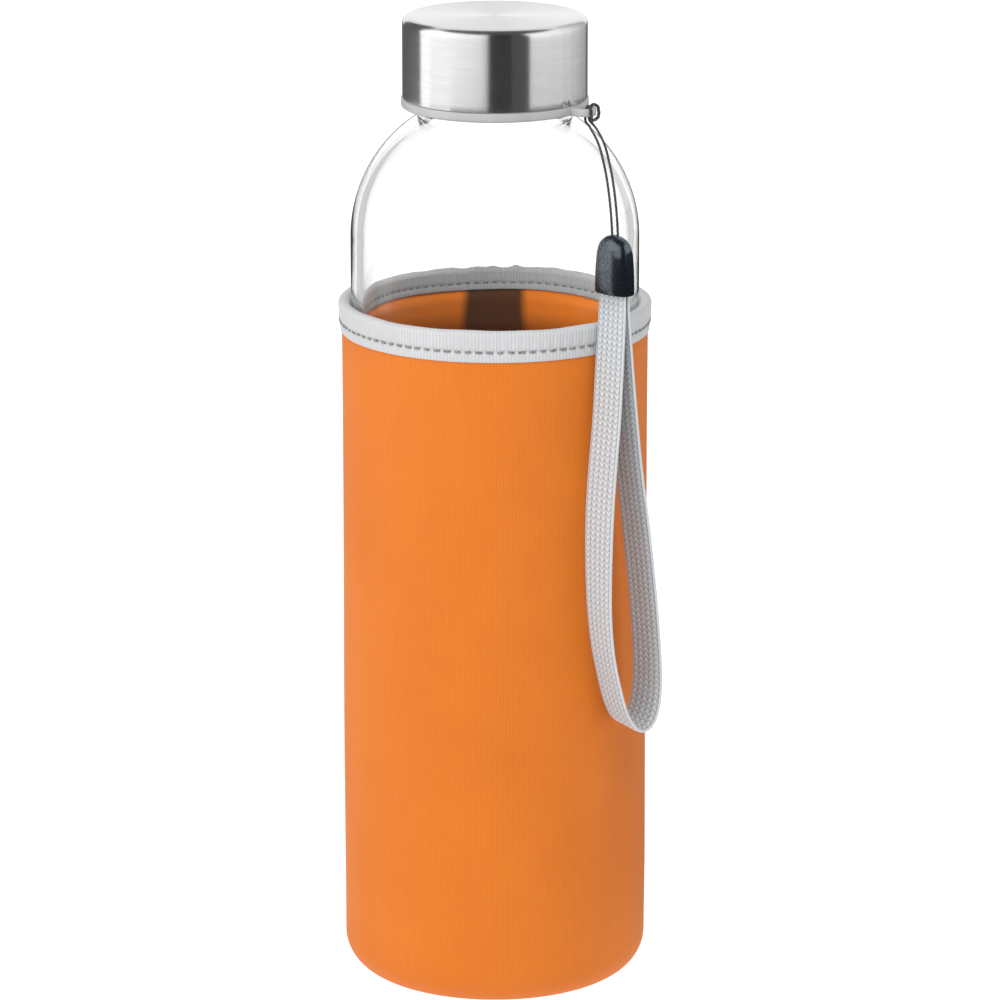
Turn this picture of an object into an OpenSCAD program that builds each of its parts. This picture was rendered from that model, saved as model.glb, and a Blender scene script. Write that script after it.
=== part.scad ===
// Glass water bottle with a screw cap, a fabric sleeve and a hanging lanyard.
// Millimetres, +Z up. The origin is the centre of the base, on the surface it stands on.

/* [Bottle] */
// Height of the whole bottle with its cap on
total_h = 220; // [200:1:240]
// Outer diameter of the glass
glass_d = 64.3; // [63:0.1:64.4]
// Thickness of the glass wall
glass_wall = 2.6; // [1.5:0.1:4]
// Thickness of the glass floor
floor_wall = 5; // [3.5:0.5:8]
// Rise of the hollow under the foot
punt_h = 2; // [1:0.5:3]
// Outer diameter of the neck
neck_d = 33; // [32:0.1:33.2]
// Diameter of the mouth
mouth_d = 28; // [24:0.5:28.5]

/* [Thread] */
// Rise of the thread in one turn
thread_lead = 4; // [3:0.5:5]
// Turns of the thread on the neck
neck_turns = 1.5; // [1:0.25:2]
// Turns of the thread in the cap
cap_turns = 1.25; // [1:0.25:1.5]
// Height of the thread above the neck
thread_h = 1.4; // [1:0.1:1.5]

/* [Cap] */
// Outer diameter of the steel shell
cap_d = 41; // [40.8:0.1:42]
// Height of the steel shell
shell_h = 18.25; // [17.5:0.25:19]
// Thickness of the sheet steel
shell_wall = 0.4; // [0.3:0.05:0.6]
// Radius of the shell's top edge
shell_edge = 1.95; // [1:0.05:3]
// Outer diameter of the plastic band under the shell
band_d = 41.6; // [41.4:0.1:43]
// Height of the band
band_h = 2.1; // [1.8:0.1:2.4]

/* [Lanyard lug] */
// Direction of the lug around the cap
lug_turn = -30; // [-60:1:0]
// Thickness of the lug
lug_t = 1.8; // [1.4:0.1:2]
// Diameter of the hole in the lug
lug_hole_d = 2.8; // [2.4:0.1:3]

/* [Sleeve] */
// Outer diameter of the sleeve
sleeve_d = 68.4; // [67.6:0.1:69]
// Height of the sleeve's cut top edge
sleeve_h = 155.2; // [120:0.1:158]
// Thickness of the sleeve's base
base_t = 2.4; // [1.8:0.1:3]
// Radius of the sleeve's bottom corner
sleeve_corner = 8.1; // [6:0.1:10]
// Gap between the sleeve and the glass
sleeve_gap = 0.25; // [0.2:0.05:0.5]
// Outer diameter of the binding around the sleeve's top edge
binding_d = 70.1; // [69.4:0.1:70.4]
// Width of the binding seen from outside
binding_w = 7.2; // [5:0.1:10]
// Diameter of the sewing thread
thread_d = 0.5; // [0.4:0.1:0.6]

/* [Lanyard] */
// Diameter of the string
string_d = 0.6; // [0.5:0.1:0.7]
// Width of the flat strap
strap_w = 9; // [8:0.1:9.2]
// Thickness of the flat strap
strap_t = 1; // [0.8:0.1:1.2]
// Height of the ferrule
ferrule_h = 12.9; // [12:0.1:15]
// Width of the ferrule's mouth
ferrule_w = 10; // [9.9:0.1:10.4]

/* [Hidden] */
$fn = 96;

glass_r = glass_d / 2;
neck_r = neck_d / 2;
mouth_r = mouth_d / 2;
cap_r = cap_d / 2;
band_r = band_d / 2;
sleeve_r = sleeve_d / 2;
binding_r = binding_d / 2;

// Heights that hang from the cap's top
band_top = total_h - shell_h;
band_low = band_top - band_h;
seal_top = total_h - 2.1;
seal_low = seal_top - 1.6;
lip_z = seal_low - 0.05;
shoulder_z = total_h - 49.7;

// Glass, outside and inside
heel = 8;
inner_heel = 6;
neck_fillet = 2.5;
mouth_fillet = 3;
punt_r = glass_r - 12;

// Thread on the neck and, broken into short ridges, in the cap
sunk = 0.4;
neck_thread_root = 2.6;
neck_thread_crest = 0.9;
neck_thread_z = lip_z - 9.4;
cap_thread_root = 1.8;
cap_thread_crest = 0.8;
cap_thread_z = lip_z - 11.1;

// Fits between the cap's pieces
glue_gap = 0.05;
liner_r = cap_r - shell_wall - glue_gap;
liner_bore = neck_r + thread_h + 0.3;
liner_edge = 1.6;
band_edge = 0.6;
ridge_gap = 0.4;
boss_r = 12.3;
boss_h = 1.2;
seal_bore = boss_r + 0.3;
seal_r = neck_r + 1;

// Sleeve wall, thinner at the top where the binding's inner leg lies
wall_in = glass_r + sleeve_gap;
hem_in = wall_in + 0.65;
hem_h = 4.4;
base_r = sleeve_r - sleeve_corner - 1.9;
seam_w = 6;
seam_t = 0.4;

// Binding, folded over the sleeve's top edge and sewn through
binding_fold = (binding_r - wall_in) / 2;
binding_top = sleeve_h + 1.3;
binding_low = binding_top - binding_w;
binding_inside = 4;
binding_foot = 0.35;
stitch_rise = 2.35;
stitch_proud = 0.1;

// Lug outline, from the cap's axis
lug_reach = band_r + 2;
lug_end = 2.5;
hole_reach = lug_reach + 0.1;

// Ferrule and strap stand on one line, out from the cap's axis
strap_turn = -49.2;
strap_reach = 39.85;
ferrule_low = -56;
ferrule_flat = 0.59;
slot_h = 4;

// Half of the string's hitch round the lug: out from the axis, across, down from the cap's top
hitch = [
    [25.0, 0, -21.2], [25.1, 1.0, -21.1], [25.3, 1.6, -20.5], [25.3, 1.7, -19.5],
    [25.1, 1.6, -18.4], [24.7, 1.4, -18.1], [24.1, 1.1, -18.0], [23.5, 0.8, -18.8],
    [23.3, 0.7, -19.8], [23.3, 0.8, -20.8], [23.6, 0.9, -21.7], [24.4, 0.9, -22.4]
];
// Middle of the string's two strands from the hitch to the ferrule: x, y, down from the cap's top
lead = [[21.65, -14.6, -22.8], [22.25, -17.2, -23.4]];
drop = [
    [22.25, -17.2, -23.4], [22.95, -19.9, -24.4], [23.6, -22.3, -25.9], [24.2, -24.4, -28.1],
    [24.8, -26.1, -30.8], [25.3, -27.6, -34.0], [25.7, -28.9, -37.5], [25.95, -29.8, -40.8],
    [26.05, -30.15, -43.2], [26.05, -30.15, -47.0]
];
// Half the distance between the strands, and the line across them
strand_half = 0.65;
strand_dir = [0.953, 0.302, 0];
// Free length left between the lead and the drop, where the string bends
bend_gap = 0.35;
// Middle of the strap: across, down from the cap's top
strap_path = [
    [-0.6, -52.8], [-0.6, -59.0], [-0.9, -65.1], [-1.4, -73.1], [-2.1, -84.1], [-3.0, -93.1],
    [-3.8, -102.1], [-4.2, -111.1], [-4.2, -121.1], [-3.8, -129.1], [-2.7, -137.1], [-0.8, -144.6],
    [1.1, -150.3], [3.3, -154.0], [5.6, -155.4], [8.0, -154.6], [9.7, -151.5], [10.5, -146.5],
    [10.4, -140.1], [9.8, -133.1], [8.9, -125.1], [7.7, -116.1], [6.2, -106.1], [4.7, -97.1],
    [3.3, -87.1], [2.0, -76.1], [1.1, -66.1], [0.6, -59.0], [0.6, -52.8]
];

function unit(v) = v / norm(v);
function polar(reach, across, turn) = [
    reach * cos(turn) - across * sin(turn),
    reach * sin(turn) + across * cos(turn)
];
function at_lug(p) = concat(polar(p[0], p[1], lug_turn), [total_h + p[2]]);
function at_strap(p) = concat(polar(strap_reach, p[0], strap_turn), [total_h + p[1]]);
function strand(p, side) = p + [0, 0, total_h] + side * strand_half * strand_dir;
function reversed(list) = [for (i = [len(list) - 1:-1:0]) list[i]];
function tangent(path, i) = unit(path[min(i + 1, len(path) - 1)] - path[max(i - 1, 0)]);
function square_to(v, t) = unit(v - (v * t) * t);
function last(list) = list[len(list) - 1];

// Directions across a path that turn as little as possible from ring to ring
function carried(path, first) = [
    for (i = 0, n = square_to(first, tangent(path, 0)); i < len(path);
         i = i + 1, n = i < len(path) ? square_to(n, tangent(path, i)) : n) n
];

// Closed tube through the path's own points, its section given across and along the carried direction
module tube(path, section, first) {
    across = carried(path, first);
    sides = len(section);
    rings = len(path);
    points = [
        for (i = [0:rings - 1])
            let (t = tangent(path, i), b = cross(t, across[i]))
                for (p = section) path[i] + p[0] * across[i] + p[1] * b
    ];
    walls = [
        for (i = [0:rings - 2], k = [0:sides - 1])
            let (a = i * sides, n = (k + 1) % sides) [a + k, a + sides + k, a + sides + n, a + n]
    ];
    start = [for (k = [0:sides - 1]) k];
    end = [for (k = [sides - 1:-1:0]) (rings - 1) * sides + k];
    polyhedron(points, concat([start, end], walls), convexity = 8);
}

function round_section(d) = [for (k = [0:7]) d / 2 * [cos(45 * k), sin(45 * k)]];
function flat_section(w, t) = let (c = t / 3) [
    [w / 2, -t / 2 + c], [w / 2, t / 2 - c], [w / 2 - c, t / 2], [-w / 2 + c, t / 2],
    [-w / 2, t / 2 - c], [-w / 2, -t / 2 + c], [-w / 2 + c, -t / 2], [w / 2 - c, -t / 2]
];

// Helical ridge on the outside of a wall of radius root_r, fading out at both ends
module ridge(root_r, crest_r, root_w, crest_w, low_z, turns) {
    step = 10;
    fade = 4;
    count = round(turns * 360 / step);
    points = [
        for (i = [0:count])
            let (k = min(1, (i + 1) / fade, (count - i + 1) / fade),
                 z = low_z + thread_lead * i * step / 360,
                 r = root_r + (crest_r - root_r) * k,
                 a = i * step)
                for (p = [[root_r, root_w / 2], [r, crest_w / 2], [r, -crest_w / 2], [root_r, -root_w / 2]])
                    [p[0] * cos(a), p[0] * sin(a), z + p[1]]
    ];
    walls = [
        for (i = [0:count - 1], k = [0:3])
            let (a = i * 4, n = (k + 1) % 4) [a + k, a + n, a + 4 + n, a + 4 + k]
    ];
    caps = [[3, 2, 1, 0], [for (k = [0:3]) count * 4 + k]];
    polyhedron(points, concat(caps, walls), convexity = 4);
}

// Broken thread inside a bore of radius root_r: short level arcs with gaps, climbing like the thread
module broken_ridge(root_r, crest_r, root_w, crest_w, low_z, turns) {
    pitch = 45;
    arc = 30;
    count = round(turns * 360 / pitch);
    for (i = [0:count - 1])
        rotate([0, 0, i * pitch]) translate([0, 0, low_z + thread_lead * (i * pitch + arc / 2) / 360])
            rotate_extrude(angle = arc) polygon([
                [root_r, -root_w / 2], [crest_r, -crest_w / 2], [crest_r, crest_w / 2], [root_r, root_w / 2]
            ]);
}

// Half outline of a vessel: rounded heel, straight wall, domed shoulder and necked mouth
module vessel_half(r, low_z, heel, throat_r, fillet, top_z) {
    bend = r + fillet;
    fillet_x = throat_r + fillet;
    fillet_z = shoulder_z + sqrt(bend * bend - fillet_x * fillet_x);
    touch_x = fillet_x * r / bend;
    touch_z = shoulder_z + (fillet_z - shoulder_z) * r / bend;
    translate([0, low_z]) square([r - heel, shoulder_z - low_z]);
    translate([0, low_z + heel]) square([r, shoulder_z - low_z - heel]);
    translate([r - heel, low_z + heel]) circle(r = heel);
    intersection() {
        translate([0, shoulder_z]) circle(r = r);
        translate([0, shoulder_z]) square([r, r]);
    }
    translate([0, shoulder_z]) square([throat_r, top_z - shoulder_z]);
    difference() {
        polygon([[0, shoulder_z], [touch_x, touch_z], [fillet_x, fillet_z], [0, fillet_z]]);
        translate([fillet_x, fillet_z]) circle(r = fillet);
    }
}

module bottle_glass() {
    foot_z = base_t;
    lip = (neck_r - mouth_r) / 2;
    punt_bend = (punt_r * punt_r + punt_h * punt_h) / (2 * punt_h);
    color([0.93, 0.96, 0.96, 0.35]) {
        rotate_extrude() difference() {
            vessel_half(glass_r, foot_z, heel, neck_r, neck_fillet, lip_z - lip);
            vessel_half(glass_r - glass_wall, foot_z + floor_wall, inner_heel, mouth_r, mouth_fillet, lip_z);
            translate([0, foot_z + punt_h - punt_bend]) circle(r = punt_bend);
        }
        translate([0, 0, lip_z - lip]) rotate_extrude() translate([mouth_r + lip, 0]) circle(r = lip);
        ridge(neck_r - sunk, neck_r + thread_h, neck_thread_root, neck_thread_crest,
              neck_thread_z, neck_turns);
    }
}

module cap_seal() {
    color("whitesmoke") translate([0, 0, seal_low]) difference() {
        cylinder(r = seal_r, h = seal_top - seal_low - glue_gap);
        translate([0, 0, -1]) cylinder(r = seal_bore, h = seal_top - seal_low + 2);
    }
}

module cap_shell() {
    inner_r = cap_r - shell_wall;
    inner_edge = shell_edge - shell_wall;
    color("silver") rotate_extrude() difference() {
        union() {
            translate([0, band_top]) square([cap_r, shell_h - shell_edge]);
            translate([0, band_top]) square([cap_r - shell_edge, shell_h]);
            translate([cap_r - shell_edge, total_h - shell_edge]) circle(r = shell_edge);
        }
        translate([0, band_top - 1]) square([inner_r, shell_h + 1 - shell_edge]);
        translate([0, band_top - 1]) square([inner_r - inner_edge, shell_h + 1 - shell_wall]);
        translate([inner_r - inner_edge, total_h - shell_edge]) circle(r = inner_edge);
    }
}

module cap_liner() {
    plate_top = total_h - shell_wall - glue_gap;
    color("darkgray") {
        difference() {
            union() {
                rotate_extrude() {
                    translate([0, band_low]) square([liner_r, plate_top - band_low - liner_edge]);
                    translate([0, band_low]) square([liner_r - liner_edge, plate_top - band_low]);
                    translate([liner_r - liner_edge, plate_top - liner_edge]) circle(r = liner_edge);
                    translate([0, band_low + band_edge]) square([band_r, band_h - band_edge - glue_gap]);
                    translate([0, band_low]) square([band_r - band_edge, band_h - glue_gap]);
                    translate([band_r - band_edge, band_low + band_edge]) circle(r = band_edge);
                }
                rotate([0, 0, lug_turn]) translate([0, 0, band_low]) {
                    translate([band_r - 2, -lug_end, 0]) cube([lug_reach - band_r + 2, 2 * lug_end, lug_t]);
                    translate([lug_reach, 0, 0]) cylinder(r = lug_end, h = lug_t);
                }
            }
            translate([0, 0, band_low - 1]) cylinder(r = liner_bore, h = seal_top - band_low + 1);
            rotate([0, 0, lug_turn]) translate([hole_reach, 0, band_low - 1])
                cylinder(d = lug_hole_d, h = lug_t + 2);
        }
        translate([0, 0, seal_top - boss_h]) cylinder(r = boss_r, h = boss_h + 0.1);
        broken_ridge(liner_bore + sunk / 2, neck_r + ridge_gap, cap_thread_root, cap_thread_crest,
                     cap_thread_z, cap_turns);
    }
}

// The string's hitch, with the short lead of each strand up to where the string bends
module lanyard_knot() {
    far = concat(
        [for (p = reversed(hitch)) at_lug([p[0], -p[1], p[2]])],
        [for (i = [1:len(hitch) - 1]) at_lug(hitch[i])]
    );
    out = [for (p = lead) strand(p, 1)];
    back = [for (p = lead) strand(p, -1)];
    trim = bend_gap * unit(lead[1] - lead[0]);
    path = concat(
        [back[1] - trim, back[0]], far, [out[0], out[1] - trim]
    );
    color("gray") tube(path, round_section(string_d), [0, 0, 1]);
}

module lanyard_string() {
    for (side = [-1, 1])
        color("gray") tube([for (p = drop) strand(p, side)], round_section(string_d), strand_dir);
}

// Bell shape: each level is an oval, given as shares of the ferrule's height and width
module bell() {
    levels = [[0, 1], [0.7, 0.91], [0.79, 0.86], [0.88, 0.7], [0.95, 0.5], [0.99, 0.28]];
    hull() for (level = levels) {
        depth = level[1] * ferrule_w * ferrule_flat;
        for (side = [-1, 1])
            translate([side * (level[1] * ferrule_w - depth) / 2, 0, level[0] * ferrule_h])
                cylinder(d = depth, h = 0.01 * ferrule_h, $fn = 32);
    }
}

module ferrule() {
    slot_w = strap_w + 0.2;
    slot_t = 2 * strap_t + 0.3;
    place = polar(strap_reach, 0, strap_turn);
    color([0.08, 0.08, 0.09]) difference() {
        translate([place[0], place[1], total_h + ferrule_low]) rotate([0, 0, strap_turn]) difference() {
            bell();
            translate([-slot_w / 2, -slot_t / 2, -1]) cube([slot_w, slot_t, slot_h + 1]);
        }
        for (side = [-1, 1]) translate(strand(last(drop), side) - [0, 0, 0.2])
            cylinder(d = string_d + 0.2, h = 8);
    }
}

module lanyard_strap() {
    path = [for (p = strap_path) at_strap(p)];
    out = concat(polar(1, 0, strap_turn), [0]);
    color("gainsboro") tube(path, flat_section(strap_w, strap_t), out);
}

// Half outline of the sleeve: outer skin, corner and inner skin, open at the top
module sleeve_half(r, low_z, corner) {
    translate([0, low_z]) square([r - corner, sleeve_h - low_z]);
    translate([0, low_z + corner]) square([r, sleeve_h - low_z - corner]);
    translate([r - corner, low_z + corner]) circle(r = corner);
}

module sleeve_wall() {
    color("darkorange") difference() {
        rotate_extrude() difference() {
            sleeve_half(sleeve_r, 0, sleeve_corner);
            translate([0, 1]) sleeve_half(wall_in, base_t - 1, sleeve_corner - 1.8);
            translate([0, sleeve_h - hem_h]) square([hem_in, hem_h + 1]);
            translate([0, -1]) square([base_r, base_t + 2]);
        }
        seam_groove();
    }
}

module sleeve_base() {
    color("chocolate") difference() {
        cylinder(r = base_r, h = base_t);
        seam_groove();
    }
}

module seam_groove() {
    translate([0, 0, thread_d / 2 + 0.02]) rotate_extrude() translate([base_r, 0]) circle(d = thread_d);
}

module base_seam() {
    color("sienna") seam_groove();
}

module side_seam() {
    seam_low = sleeve_corner + 1;
    seam_high = binding_low - 0.2;
    color("peru") intersection() {
        difference() {
            translate([0, 0, seam_low]) cylinder(r = sleeve_r + seam_t, h = seam_high - seam_low);
            translate([0, 0, seam_low - 1]) cylinder(r = sleeve_r, h = seam_high - seam_low + 2);
        }
        translate([-seam_w / 2, 0, 0]) cube([seam_w, sleeve_r + 5, sleeve_h]);
    }
}

// The binding's outer leg widens from its foot up to the fold; the stitches lie on its slope
module stitch_ring() {
    slope = (binding_r - sleeve_r - binding_foot) / (binding_w - binding_fold);
    stitch_r = sleeve_r + binding_foot + slope * stitch_rise + stitch_proud - thread_d / 2;
    translate([0, 0, binding_low + stitch_rise]) rotate_extrude()
        translate([stitch_r, 0]) circle(d = thread_d);
}

module sleeve_binding() {
    fold_z = binding_top - binding_fold;
    color("lightgray") difference() {
        rotate_extrude() difference() {
            union() {
                translate([wall_in, fold_z - binding_inside]) square([hem_in - wall_in, binding_inside]);
                translate([wall_in + binding_fold, fold_z]) circle(r = binding_fold);
                polygon([
                    [sleeve_r, binding_low], [sleeve_r + binding_foot, binding_low],
                    [binding_r, fold_z], [sleeve_r, fold_z]
                ]);
            }
            translate([hem_in, 0]) square([sleeve_r - hem_in, sleeve_h]);
        }
        stitch_ring();
    }
}

module binding_stitches() {
    color("gray") stitch_ring();
}

bottle_glass();
cap_seal();
cap_shell();
cap_liner();
lanyard_knot();
lanyard_string();
ferrule();
lanyard_strap();
sleeve_wall();
sleeve_base();
sleeve_binding();
binding_stitches();
side_seam();
base_seam();
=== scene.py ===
"""Looks of a glass water bottle with a screw cap, a fabric sleeve and a hanging lanyard.

Everything is in metres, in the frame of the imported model: +Z up, origin at the centre of the base.
"""

import math

import bpy
import numpy as np
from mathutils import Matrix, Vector


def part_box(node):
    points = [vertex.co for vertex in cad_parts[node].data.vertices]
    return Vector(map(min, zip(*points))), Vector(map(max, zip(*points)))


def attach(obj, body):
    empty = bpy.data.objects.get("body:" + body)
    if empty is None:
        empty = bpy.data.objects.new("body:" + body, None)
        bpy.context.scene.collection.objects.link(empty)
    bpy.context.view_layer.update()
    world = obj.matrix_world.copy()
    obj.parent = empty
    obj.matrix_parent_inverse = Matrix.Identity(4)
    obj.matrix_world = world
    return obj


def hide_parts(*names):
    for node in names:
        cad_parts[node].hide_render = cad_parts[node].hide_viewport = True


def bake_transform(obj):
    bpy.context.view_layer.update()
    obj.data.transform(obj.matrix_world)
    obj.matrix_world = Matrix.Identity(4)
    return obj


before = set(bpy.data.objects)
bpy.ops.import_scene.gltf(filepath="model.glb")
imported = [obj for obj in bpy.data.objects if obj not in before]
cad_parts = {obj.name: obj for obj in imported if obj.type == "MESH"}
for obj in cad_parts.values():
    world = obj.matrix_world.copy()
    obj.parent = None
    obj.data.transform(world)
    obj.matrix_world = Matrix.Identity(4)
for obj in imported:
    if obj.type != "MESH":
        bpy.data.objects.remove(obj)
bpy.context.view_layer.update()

MM = 0.001
FULL_TURN = 2 * math.pi

# How bright the white studio is: seen directly, in reflections and as a fill light
WHITE_LEVEL = 1.03
SKY_LEVEL = 1.1
FILL_LEVEL = 0.40

# ---------------------------------------------------------------- sizes, from the frame

shell_low, shell_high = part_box("cap_shell")
liner_low, liner_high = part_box("cap_liner")
glass_low, glass_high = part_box("bottle_glass")
seal_low, seal_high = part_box("cap_seal")
_, wall_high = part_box("sleeve_wall")
_, base_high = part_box("sleeve_base")
binding_low, binding_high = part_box("sleeve_binding")
ferrule_low, ferrule_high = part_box("ferrule")

TOP_Z = shell_high.z
CAP_R = shell_high.x
SHELL_LOW_Z = shell_low.z
BAND_LOW_Z = liner_low.z
BAND_R = -liner_low.x
LIP_Z = glass_high.z
FOOT_Z = glass_low.z
GLASS_R = glass_high.x
SLEEVE_R = wall_high.x
SLEEVE_TOP_Z = wall_high.z
BASE_R = base_high.x
BASE_T = base_high.z
BINDING_R = binding_high.x
BINDING_LOW_Z = binding_low.z
BINDING_TOP_Z = binding_high.z

# ---------------------------------------------------------------- sizes of the design

GLASS_WALL = 2.6 * MM
GLASS_FLOOR = 5.0 * MM
PUNT_H = 2.0 * MM
NECK_R = 16.5 * MM
MOUTH_R = 14.0 * MM
SHOULDER_Z = TOP_Z - 49.7 * MM
HEEL = 8.0 * MM
INNER_HEEL = 6.0 * MM
NECK_FILLET = 2.5 * MM
MOUTH_FILLET = 3.0 * MM
PUNT_R = GLASS_R - 12.0 * MM
THREAD_LEAD = 4.0 * MM
THREAD_H = 1.4 * MM
NECK_TURNS = 1.5
CAP_TURNS = 1.25
NECK_THREAD_Z = LIP_Z - 9.4 * MM
CAP_THREAD_Z = LIP_Z - 11.1 * MM
SHELL_WALL = 0.4 * MM
SHELL_EDGE = 1.95 * MM
LINER_R = CAP_R - 0.45 * MM
LINER_BORE = NECK_R + THREAD_H + 0.3 * MM
LINER_EDGE = 1.6 * MM
BAND_EDGE = 0.6 * MM
BOSS_R = 12.3 * MM
BOSS_H = 1.15 * MM
SEAL_BORE = 12.6 * MM
SEAL_R = NECK_R + 1.0 * MM
SLEEVE_GAP = 0.25 * MM
SLEEVE_IN = GLASS_R + SLEEVE_GAP
HEM_IN = SLEEVE_IN + 0.65 * MM
HEM_H = 4.4 * MM
SLEEVE_CORNER = 8.1 * MM
BINDING_FOOT = 0.35 * MM
BINDING_INSIDE = 4.0 * MM
STITCHES = 92
STITCH_Z = BINDING_LOW_Z + 2.35 * MM
INNER_STITCH_Z = BINDING_LOW_Z + 3.5 * MM
SEAM_W = 6.0 * MM
STRING_D = 0.6 * MM
STRAP_W = 9.0 * MM
STRAP_T = 1.0 * MM
STRAP_TWIST = math.radians(9.0)
FERRULE_W = 10.0 * MM
FERRULE_T = 5.9 * MM
FERRULE_SLOT_H = 4.0 * MM
LUG_TURN = math.radians(-30)
LUG_REACH = BAND_R + 2.0 * MM
LUG_END = 2.5 * MM
LUG_T = 1.8 * MM
LUG_HOLE_R = 1.4 * MM
STRAP_TURN = math.radians(-49.2)
STRAP_REACH = 39.85 * MM

# The lanyard's routes, the same points as the CAD model's, in metres.
# Hitch round the lug: out from the axis, across, down from the cap's top.
HITCH = [
    (0.0250, 0, -0.0212), (0.0251, 0.0010, -0.0211), (0.0253, 0.0016, -0.0205),
    (0.0253, 0.0017, -0.0195), (0.0251, 0.0016, -0.0184), (0.0247, 0.0014, -0.0181),
    (0.0241, 0.0011, -0.0180), (0.0235, 0.0008, -0.0188), (0.0233, 0.0007, -0.0198),
    (0.0233, 0.0008, -0.0208), (0.0236, 0.0009, -0.0217), (0.0244, 0.0009, -0.0224),
]
# Middle of the two strands from the hitch to the ferrule: x, y, down from the cap's top. The lanyard
# swings about the first point of the drop.
LEAD = [(0.02165, -0.0146, -0.0228)]
DROP = [
    (0.02225, -0.0172, -0.0234), (0.02295, -0.0199, -0.0244), (0.0236, -0.0223, -0.0259),
    (0.0242, -0.0244, -0.0281), (0.0248, -0.0261, -0.0308), (0.0253, -0.0276, -0.0340),
    (0.0257, -0.0289, -0.0375), (0.02595, -0.0298, -0.0408), (0.02605, -0.03015, -0.0432),
    (0.02605, -0.03015, -0.0470),
]
STRAND_HALF = 0.65 * MM
STRAND_DIR = Vector((0.953, 0.302, 0))
# Middle of the strap: across, down from the cap's top.
STRAP_PATH = [
    (-0.0006, -0.0528), (-0.0006, -0.0590), (-0.0009, -0.0651), (-0.0014, -0.0731), (-0.0021, -0.0841),
    (-0.0030, -0.0931), (-0.0038, -0.1021), (-0.0042, -0.1111), (-0.0042, -0.1211), (-0.0038, -0.1291),
    (-0.0027, -0.1371), (-0.0008, -0.1446), (0.0011, -0.1503), (0.0033, -0.1540), (0.0056, -0.1554),
    (0.0080, -0.1546), (0.0097, -0.1515), (0.0105, -0.1465), (0.0104, -0.1401), (0.0098, -0.1331),
    (0.0089, -0.1251), (0.0077, -0.1161), (0.0062, -0.1061), (0.0047, -0.0971), (0.0033, -0.0871),
    (0.0020, -0.0761), (0.0011, -0.0661), (0.0006, -0.0590), (0.0006, -0.0528),
]

# ---------------------------------------------------------------- camera


def make_camera():
    """In front of the object, looking 14.81 degrees down through a long lens."""
    data = bpy.data.cameras.new("camera")
    data.sensor_width = 36
    data.lens = 198.07
    data.shift_x = 0.0051
    data.shift_y = -0.0045
    data.clip_start = 0.05
    data.clip_end = 50
    camera = bpy.data.objects.new("camera", data)
    camera.location = (0, -1.1988, 0.4274)
    camera.rotation_euler = (math.radians(90 - 14.81), 0, 0)
    bpy.context.scene.collection.objects.link(camera)
    bpy.context.scene.camera = camera


make_camera()

# ---------------------------------------------------------------- mesh helpers


def new_object(name, points, faces, uvs=None):
    """A smooth-shaded mesh. uvs, if given, has one (u, v) for each face corner, in a layer named lay."""
    mesh = bpy.data.meshes.new(name)
    mesh.from_pydata([tuple(p) for p in points], [], [tuple(f) for f in faces])
    if uvs is not None:
        layer = mesh.uv_layers.new(name="lay")
        layer.data.foreach_set("uv", np.asarray(uvs, np.float32).ravel())
    mesh.shade_smooth()
    mesh.validate()
    piece = bpy.data.objects.new(name, mesh)
    bpy.context.scene.collection.objects.link(piece)
    return piece


class Shell:
    """Collects the points and faces of several closed surfaces that make one piece."""

    def __init__(self):
        self.points = []
        self.faces = []

    def add(self, points, faces):
        start = len(self.points)
        self.points.extend(tuple(p) for p in points)
        self.faces.extend(tuple(start + i for i in f) for f in faces)

    def make(self, name):
        return new_object(name, self.points, self.faces)


def arc(centre_r, centre_z, radius, start, end, count):
    """Points (r, z) along an arc, its angles in degrees from the r axis."""
    angles = np.radians(np.linspace(start, end, count))
    return [(centre_r + radius * math.cos(a), centre_z + radius * math.sin(a)) for a in angles]


def line(start, end, count):
    """Points (r, z) between two points, without the two ends."""
    shares = [(i + 1) / (count + 1) for i in range(count)]
    return [tuple(s + (e - s) * t for s, e in zip(start, end)) for t in shares]


def grid_faces(rows, columns, wrap_rows, wrap_columns):
    """Four-sided faces over rows x columns points, closed up where a wrap is set."""
    faces = []
    for i in range(rows if wrap_rows else rows - 1):
        for j in range(columns if wrap_columns else columns - 1):
            k, m = (i + 1) % rows, (j + 1) % columns
            faces.append((i * columns + j, i * columns + m, k * columns + m, k * columns + j))
    return faces


def lathe_parts(profile, segments=192, shape=None):
    """Points and faces of an (r, z) outline turned round the axis. The outline is a closed loop, or
    it starts and ends on the axis. It runs so that the solid is on its left going round.
    shape(r, z, angle) -> (r, z) moves the points, as arrays."""
    profile = np.array(profile, float)
    poles = profile[0, 0] < 1e-9 and profile[-1, 0] < 1e-9
    rings = profile[1:-1] if poles else profile
    angles = np.arange(segments) * FULL_TURN / segments
    r = np.repeat(rings[:, :1], segments, 1)
    z = np.repeat(rings[:, 1:], segments, 1)
    a = np.repeat(angles[None, :], len(rings), 0)
    if shape:
        r, z = shape(r, z, a)
    points = np.stack([r * np.cos(a), r * np.sin(a), z], -1).reshape(-1, 3)
    faces = grid_faces(len(rings), segments, not poles, True)
    points = [tuple(p) for p in points]
    if poles:
        low, high = len(points), len(points) + 1
        points += [(0, 0, profile[0, 1]), (0, 0, profile[-1, 1])]
        last = (len(rings) - 1) * segments
        for j in range(segments):
            k = (j + 1) % segments
            faces.append((low, k, j))
            faces.append((high, last + j, last + k))
    return points, faces


def lathe(name, profile, segments=192, shape=None):
    return new_object(name, *lathe_parts(profile, segments, shape))


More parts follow.
